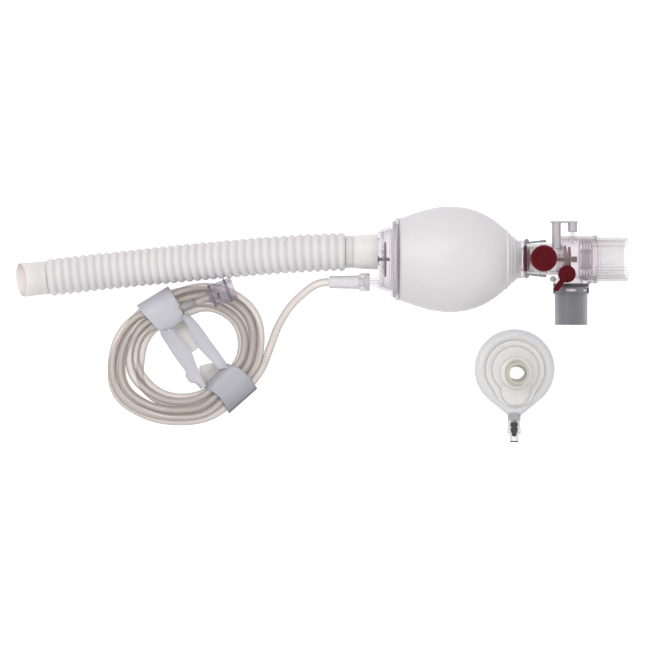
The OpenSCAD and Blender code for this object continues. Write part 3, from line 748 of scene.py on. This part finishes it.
def tube_ring(s, r):
    d, u, v = turn_frame(tube_at(min(s + 0.005, 1)) - tube_at(max(s - 0.005, 0)))
    at = tube_at(s)
    return [at + r * (c * u + q * v) for c, q in circle(72)]


def make_tube(mats):
    """The corrugated reservoir: round ridges with narrow grooves outside, and a plain bore"""
    per = 12
    tall = RIDGE_R - 0.04 - VALLEY_R
    rings = []
    for k in range(RIDGES * per + 1):
        swell = 0.12 + 0.88 * math.sin(math.pi * ((k % per) / per)) ** 0.9
        rings.append(tube_ring(k / (RIDGES * per), VALLEY_R + tall * swell))
    rings += [tube_ring(1 - k / 60, TUBE_BORE_R) for k in range(61)]
    piece("reservoir_hose", *skin(rings, closed=True), mats["tube"], "root", "reservoir_plastic",
          "reservoir_tube")


def make_cuff(mats):
    """The open cuff, bent up towards its mouth"""
    start = tube_at(1) - [0.05, 0, 0]
    a = math.radians(180 + CUFF_TILT)
    d = np.array((math.cos(a), math.sin(a), 0))
    n = np.array((-d[1], d[0], 0))
    profile = [(10.9, 0.06), (11.2, 0.15), (11.35, 0.7), (11.35, 4), (11.8, 17.6), (11.8, 18.8),
               (11.1, 18.8), (10.7, 4), (10.0, 3), (10.0, 0.06)]
    rings = lathe(rounded(profile, 0.25, 3), start, d, 96)
    for ring in rings:
        for p in ring:
            along, height = np.dot(p - start, d), p[2] - start[2]
            bent = max(along - CUFF_STRAIGHT, 0)
            turn = bent / CUFF_BEND_R
            p -= CUFF_SKEW * turn * np.dot(p - start, n) * d
            p += ((CUFF_BEND_R - height) * math.sin(turn) - bent) * d
            p[2] += (CUFF_BEND_R - height) * (1 - math.cos(turn))
    piece("open_cuff", *skin(rings, closed=True), mats["cuff"], "root", "cuff_plastic",
          "reservoir_open_cuff")


# ---------------------------------------------------------------- mask
ROUND_R, ROUND_Y, NOSE_R, NOSE_Y = 27.4, 2.2, 9.5, -21.0
CUSHION_R, CUSHION_Z, CUSHION_HALF, CUSHION_SQUARE = 6.2, 5.8, 5.72, 0.92
WIDER, LONGER, ASIDE, AHEAD = 1.012, 1.006, 0.35, 0.1       # the cushion against the outline
DOME_INSIDE, DOME_WALL = 0.965, 1.2         # the inner skin: share of the size, and drop
CROWN_NOSE_Y = 13.0
HUB_R, HUB_BORE_R, PIN_R, LENS_R, LENS_APART = 9.0, 5.79, 7.5, 6.1, 1.9


def outline(d, n=120):
    """The mask's outline drawn in by d: a round end and a narrow end joined by tangents"""
    tangent = math.asin((ROUND_R - NOSE_R) / (ROUND_Y - NOSE_Y))
    tip = max(NOSE_R - d, 1.5)
    tip_y = ROUND_Y - (ROUND_R - d - tip) / math.sin(tangent)
    pts = []
    for i in range(61):
        t = -tangent + (math.pi + 2 * tangent) * i / 60
        pts.append(((ROUND_R - d) * math.cos(t), ROUND_Y + (ROUND_R - d) * math.sin(t)))
    for i in range(21):
        t = math.pi + tangent + (math.pi - 2 * tangent) * i / 20
        pts.append((tip * math.cos(t), tip_y + tip * math.sin(t)))
    pts.append(pts[0])
    return even_path(pts, n + 1)[:-1]


def make_cushion(mats):
    """The inflated ring that seals on the face"""
    rings = []
    for c, s in circle(40):
        inset = CUSHION_R - CUSHION_R * math.copysign(abs(c) ** CUSHION_SQUARE, c)
        z = CUSHION_Z - CUSHION_HALF * math.copysign(abs(s) ** CUSHION_SQUARE, s)
        rings.append([(MASK_X + WIDER * x + ASIDE, MASK_Y + LONGER * y + AHEAD, z)
                      for x, y in outline(inset)])
    obj = piece("cushion_ring", *skin(rings, closed=True), mats["cushion"], "mask",
                "cushion_vinyl", "mask_cushion")


def crown(radius, centre, wide, tall, sharp):
    """A round outline and a nose, smoothly joined, as points round the mask's centre"""
    pts = []
    for c, s in circle(160):
        face = centre * s + math.sqrt(radius ** 2 - (centre * c) ** 2)
        ea, eb = (c / wide) ** 2 + (s / tall) ** 2, 2 * CROWN_NOSE_Y * s / tall ** 2
        ec = (CROWN_NOSE_Y / tall) ** 2 - 1
        under = eb * eb - 4 * ea * ec
        nose = (-eb + math.sqrt(under)) / (2 * ea) if under > 0 and s < 0 else 0.0
        r = (face ** sharp + max(nose, 0.1) ** sharp) ** (1 / sharp)
        pts.append((r * c, r * s))
    return pts


def make_dome(mats):
    """The mask's stepped shell, from its lip in the cushion up to the hub"""
    plan = crown(radius=16.2, centre=2.2, wide=9.8, tall=9.8, sharp=11)
    lip = crown(radius=20.2, centre=2.0, wide=12.4, tall=10.0, sharp=9)
    hub = [(HUB_R * x / math.hypot(x, y), HUB_R * y / math.hypot(x, y)) for x, y in plan]

    def between(a, b, t):
        return [(p[0] * (1 - t) + q[0] * t, p[1] * (1 - t) + q[1] * t) for p, q in zip(a, b)]

    form = [(between(lip, plan, t), z) for t, z in
            ((0, 12.95), (0.01, 13.6), (0.05, 14.3), (0.16, 14.75), (0.5, 14.9), (0.86, 14.8),
             (0.96, 15.0))]
    form += [(between(plan, hub, t), z) for t, z in
             ((0.0, 15.4), (0.02, 16.2), (0.06, 17.0), (0.14, 17.5), (0.3, 18.1), (0.5, 19.1),
              (0.68, 20.2), (0.8, 20.8), (1.0, 21.3))]
    rings = [[(MASK_X + x, MASK_Y + y, z) for x, y in pts] for pts, z in form]
    rings += [[(MASK_X + x * DOME_INSIDE, MASK_Y + y * DOME_INSIDE, z - DOME_WALL) for x, y in pts]
              for pts, z in reversed(form)]
    piece("mask_shell", *skin(rings, closed=True), mats["dome"], "mask", "dome_plastic",
          "mask_dome")


def make_hub(mats):
    """The mask's connector: pale collar, pin on its boss, and a bore narrowed to a lens; pin, boss
    and bore walls are a darker tan of painted shade, with a thin tan ring of painted shadow round
    the collar
    """
    at, up, n = (MASK_X, MASK_Y, 0), (0, 0, 1), 96
    finish = ("mask", "dome_plastic")
    collar = [(7.0, 20.2), (7.9, 20.2), (7.9, 21.7), (11, 21.7), (11, 22.6), (8.6, 23.4),
              (7.4, 24.5), (7.0, 24.5)]
    turned_piece("hub_collar", collar, at, up, n, 0.2, mats["hub"], *finish, "mask_connector")
    # The pin takes the darker tan of painted shade
    pin = [(5.8, 20.2), (7.2, 20.2), (PIN_R, 24.3), (PIN_R, 36.0), (7.1, 36.5), (5.8, 36.5)]
    turned_piece("hub_pin", pin, at, up, n, 0.2, mats["bore"], *finish)
    # A thin tan ring round the collar's rim: a painted shadow where the collar stands above the
    # dome
    seam = [(10.9, 21.3), (11.3, 21.3), (11.3, 22.3), (10.9, 22.3)]
    turned_piece("hub_shadow_ring", seam, at, up, n, 0.12, mats["bore"], *finish)

    def level(wide, tall, z):
        return [(MASK_X + wide * c, MASK_Y + tall * s, z) for c, s in circle(n)]

    # A fillet at the pin's foot, longer along Y; its tan paints the shade that shows as crescents
    # above and below the pin
    rings = [level(*row) for row in ((7.4, 7.4, 23.4), (7.9, 9.3, 23.6), (7.8, 9.1, 24.0),
                                     (7.55, 7.9, 24.5), (7.4, 7.4, 25.2))]
    piece("hub_boss", *skin(rings, closed=True), mats["bore"], *finish)

    def lens(s, share):
        """Distance to the overlap of two circles set apart along Y"""
        apart, radius = LENS_APART * share, HUB_BORE_R + (LENS_R - HUB_BORE_R) * share
        across = apart * abs(s)
        return min(-across + math.sqrt(across * across + radius ** 2 - apart ** 2), HUB_BORE_R)

    # The bore's walls narrow to a lens; their tan is painted shade
    rings = [[(MASK_X + lens(s, share) * c, MASK_Y + lens(s, share) * s, z) for c, s in circle(n)]
             for z, share in ((35.9, 0), (32, 0.25), (26, 0.7), (22, 1), (20.4, 1))]
    rings += [level(5.82, 5.82, z) for z in (20.4, 35.9)]
    piece("hub_web", *skin(rings, closed=True), mats["bore"], *finish)


def make_inflation_parts(mats):
    """The cushion's vinyl stem, the dark valve core with its two swells, and the tip's rim"""
    out = (0, -1, 0)
    stem = [(4.22, 0.2), (4.75, 0.2), (4.5, 1.2), (4.42, 5.0), (4.35, 5.2), (4.22, 5.2)]
    turned_piece("valve_stem", stem, INFLATION_AT, out, 64, 0.12, mats["stem"], "mask",
                 "cushion_vinyl")
    core = [(0.05, 6.9), (2.2, 6.9), (2.6, 7.3), (2.68, 8.4), (2.6, 9.4), (2.1, 9.9),
            (1.85, 10.2), (2.1, 10.5), (2.5, 11.0), (2.6, 11.8), (2.45, 12.7), (2.0, 13.6),
            (1.6, 14.8), (1.5, 15.8), (1.1, 16.4), (0.05, 16.6)]
    turned_piece("core_stem", core, INFLATION_AT, out, 48, 0, mats["core"], "inflation_core",
                 "core_rubber", "inflation_valve_core", lids=True)
    rim = [(2.9, 19.7), (3.02, 19.75), (3.02, 20.15), (2.9, 20.2)]
    turned_piece("tip_rim", rim, INFLATION_AT, out, 48, 0, mats["band"], "mask", "clear_plastic")


# ---------------------------------------------------------------- valve details
KNOB_X, FOOT_X, FOOT_HALF, PAD_HALF = HINGE_X - 11.2, HINGE_X - 11.7, 11.2, 8.6
BAFFLE_X, BAFFLE_STEP = 41.1, 1.9            # along the valve from the bag's neck
RIBS_FROM, RIBS_TO, RIBS_R = NECK_X + 49.2, NECK_X + 69.8, 13.35      # just inside the port's bore


def make_clip(mats):
    """The override clip: two arms from the hinge, corner knobs, and a pad across its foot"""
    finish = ("clip", "grey_plastic")
    for name, side in (("left", -1), ("right", 1)):
        rings = []
        for k, (x, y) in enumerate(smooth_path([(0.6, 11.55), (-4, 11.2), (-9, 10.6),
                                                (-11.2, 10.5)], 1.0)):
            tall = 1.5 if k < 3 else 1.25
            rings.append([(HINGE_X + x,
                           AXIS_Y + side * (y + 0.72 * math.copysign(abs(c) ** 0.6, c)),
                           HINGE_Z + tall * math.copysign(abs(q) ** 0.6, q))
                          for c, q in circle(20)])
        arm = piece(f"clip_arm_{name}", *skin(rings, lids=True), mats["clip"], *finish)
        if side < 0:
            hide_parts("override_clip")
        knob = [(0.05, -1.5), (1.1, -1.5), (1.5, -1.1), (1.55, 0), (1.5, 1.1), (1.1, 1.5),
                (0.05, 1.5)]
        turned_piece(f"clip_knob_{name}", knob, (KNOB_X, AXIS_Y + side * 11.6, HINGE_Z),
                     (0, 0, 1), 32, 0, mats["clip"], *finish, lids=True)
        eye = [(1.25, -0.76), (1.95, -0.7), (2.0, -0.5), (2.0, 0.5), (1.95, 0.7), (1.25, 0.76)]
        turned_piece(f"clip_eye_{name}", eye, (HINGE_X, AXIS_Y + side * 11.55, HINGE_Z),
                     (0, 1, 0), 40, 0, mats["clip"], *finish)
    for name, reach_y, look, slot, half in (("clip_foot", FOOT_HALF, "clip", "grey_plastic", 0.75),
                                            ("clip_pad", PAD_HALF, "band", "red_rubber", 1.15)):
        rings = []
        for k in range(25):
            y = reach_y * (2 * k / 24 - 1)
            x = FOOT_X - 0.5 * (1 - (y / FOOT_HALF) ** 2)
            ends = min(1.0, 0.7 + 6 * (1 - abs(y) / reach_y))
            rings.append([(x + half * ends * c, AXIS_Y + y, HINGE_Z + (half + 0.25) * ends * q)
                          for c, q in circle(20)])
        piece(name, *skin(rings, lids=True), mats[look], "clip", slot)


def make_window_ring(mats):
    """The pale swivel ring that shows in the connector's windows"""
    profile = [(10.05, 19.8), (10.7, 19.8), (10.8, 21.0), (10.7, 22.1), (10.05, 22.1)]
    turned_piece("window_ring", profile, (NECK_X + 34.5, AXIS_Y, AXIS_Z), (0, -1, 0), 96, 0,
                 mats["window"], "mask_swivel", "clear_plastic")


def make_valve_details(mats):
    """The branch flange's two lugs, the baffle rings' dark edges, and the ribs in the port"""
    finish = ("patient_valve", "clear_plastic")
    for name, x, y, r, tall in (("left", 22.2, -13.2, 1.9, 3.0), ("right", 47.0, -15.7, 0.9, 1.6)):
        lug = [(0.05, -tall), (r - 0.3, -tall), (r, 0.3 - tall), (r, tall - 0.3),
               (r - 0.3, tall), (0.05, tall)]
        turned_piece(f"branch_lug_{name}", lug, (NECK_X + x, AXIS_Y + y, AXIS_Z), (0, 0, 1), 40,
                     0, mats["lug"], *finish, lids=True)
    for k in range(4):
        x = BAFFLE_X + BAFFLE_STEP * k
        for name, r in (("outer", 12.6), ("inner", 6.65)):
            edge = [(r - 0.45, x), (r + 0.45, x), (r + 0.45, x + 0.5), (r - 0.45, x + 0.5)]
            turned_piece(f"baffle_ring_{name}_{k + 1}", edge, (NECK_X, AXIS_Y, AXIS_Z),
                         (1, 0, 0), 96, 0.08, mats["ring"], *finish)
    for k, degrees in enumerate((66, 39, -25, -35, -57)):
        a = math.radians(degrees)
        out = np.array([0, math.sin(a), math.cos(a)])
        side = np.array([0, math.cos(a), -math.sin(a)])
        rings = []
        for x, tall in ((RIBS_FROM, 0.1), (RIBS_FROM + 0.8, 0.5), (RIBS_TO - 1.2, 0.5),
                        (RIBS_TO, 0.1)):
            top = RIBS_R - tall
            rings.append([np.array([x, AXIS_Y, AXIS_Z]) + q * out + w * side for q, w in
                          ((RIBS_R, -0.3), (RIBS_R, 0.3), (top, 0.14), (top, -0.14))])
        piece(f"port_rib_{k + 1}", *skin(rings, lids=True), mats["rib"], *finish)


# ---------------------------------------------------------------- finish
def make_floor():
    """A pale, softly glowing sheet of studio paper"""
    s = Shade("floor_paper")
    tone = s.ramp(s.noise(6.0), 0.3, 0.7, (0.66, 0.66, 0.66, 1), (0.69, 0.69, 0.69, 1))
    body = s.add("BsdfPrincipled", Base_Color=tone, Roughness=0.9)
    body.inputs["Specular IOR Level"].default_value = 0.1
    body.inputs["Emission Color"].default_value = (1, 1, 1, 1)
    body.inputs["Emission Strength"].default_value = PAPER_GLOW
    mat = s.finish(body.outputs[0])
    mesh = bpy.data.meshes.new("floor")
    r = 4.0
    mesh.from_pydata([(-r, -r, 0), (r, -r, 0), (r, r, 0), (-r, r, 0)], [], [(0, 1, 2, 3)])
    mesh.materials.append(mat)
    obj = bpy.data.objects.new("floor", mesh)
    obj.location.z = -0.0002
    bpy.context.collection.objects.link(obj)


CAD_LOOKS = {
    "clear": ("neck_connector", "shutter_guide", "relief_tower"),
    "chamber": ("valve_housing",),
    "housing": ("inlet_housing", "inlet_valve_seat"),
    "collar": ("inlet_collar",),
    "baffle": ("exhaust_baffle",),
    "cuff_valve": ("inflation_valve_body", "inflation_valve_tip"),
    "port": ("expiratory_port",),
    "adapter": ("reservoir_adapter",),
    "sleeve": ("oxygen_sleeve",),
    "nut": ("oxygen_nut",),
    "cuff": ("reservoir_inlet_cuff",),
    "rubber": ("inlet_valve_flap", "neck_washer", "shutter_valve"),
    "red": ("relief_cap", "manometer_cap"),
    "grey": ("patient_connector",),
    "pale": ("port_cap",),
    "seal": ("connector_seal",),
    "poppet": ("relief_poppet",),
    "steel": ("relief_spring", "inflation_valve_spring"),
}


def paint_cad(mats):
    """Gives the CAD nodes that stay in view their looks"""
    for key, nodes in CAD_LOOKS.items():
        for name in nodes:
            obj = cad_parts[name]
            for slot in obj.material_slots:
                slot.material = mats[key]


make_camera()
mats = make_materials()
hose, hose_line = make_hose(mats)
source = make_source(mats)
tie = make_tie(mats)
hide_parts("coil_tie")
for make in (make_bag, make_tube, make_cuff, make_cushion, make_dome, make_hub,
             make_inflation_parts, make_clip, make_window_ring, make_valve_details, paint_cad):
    make(mats)
make_floor()
make_light()
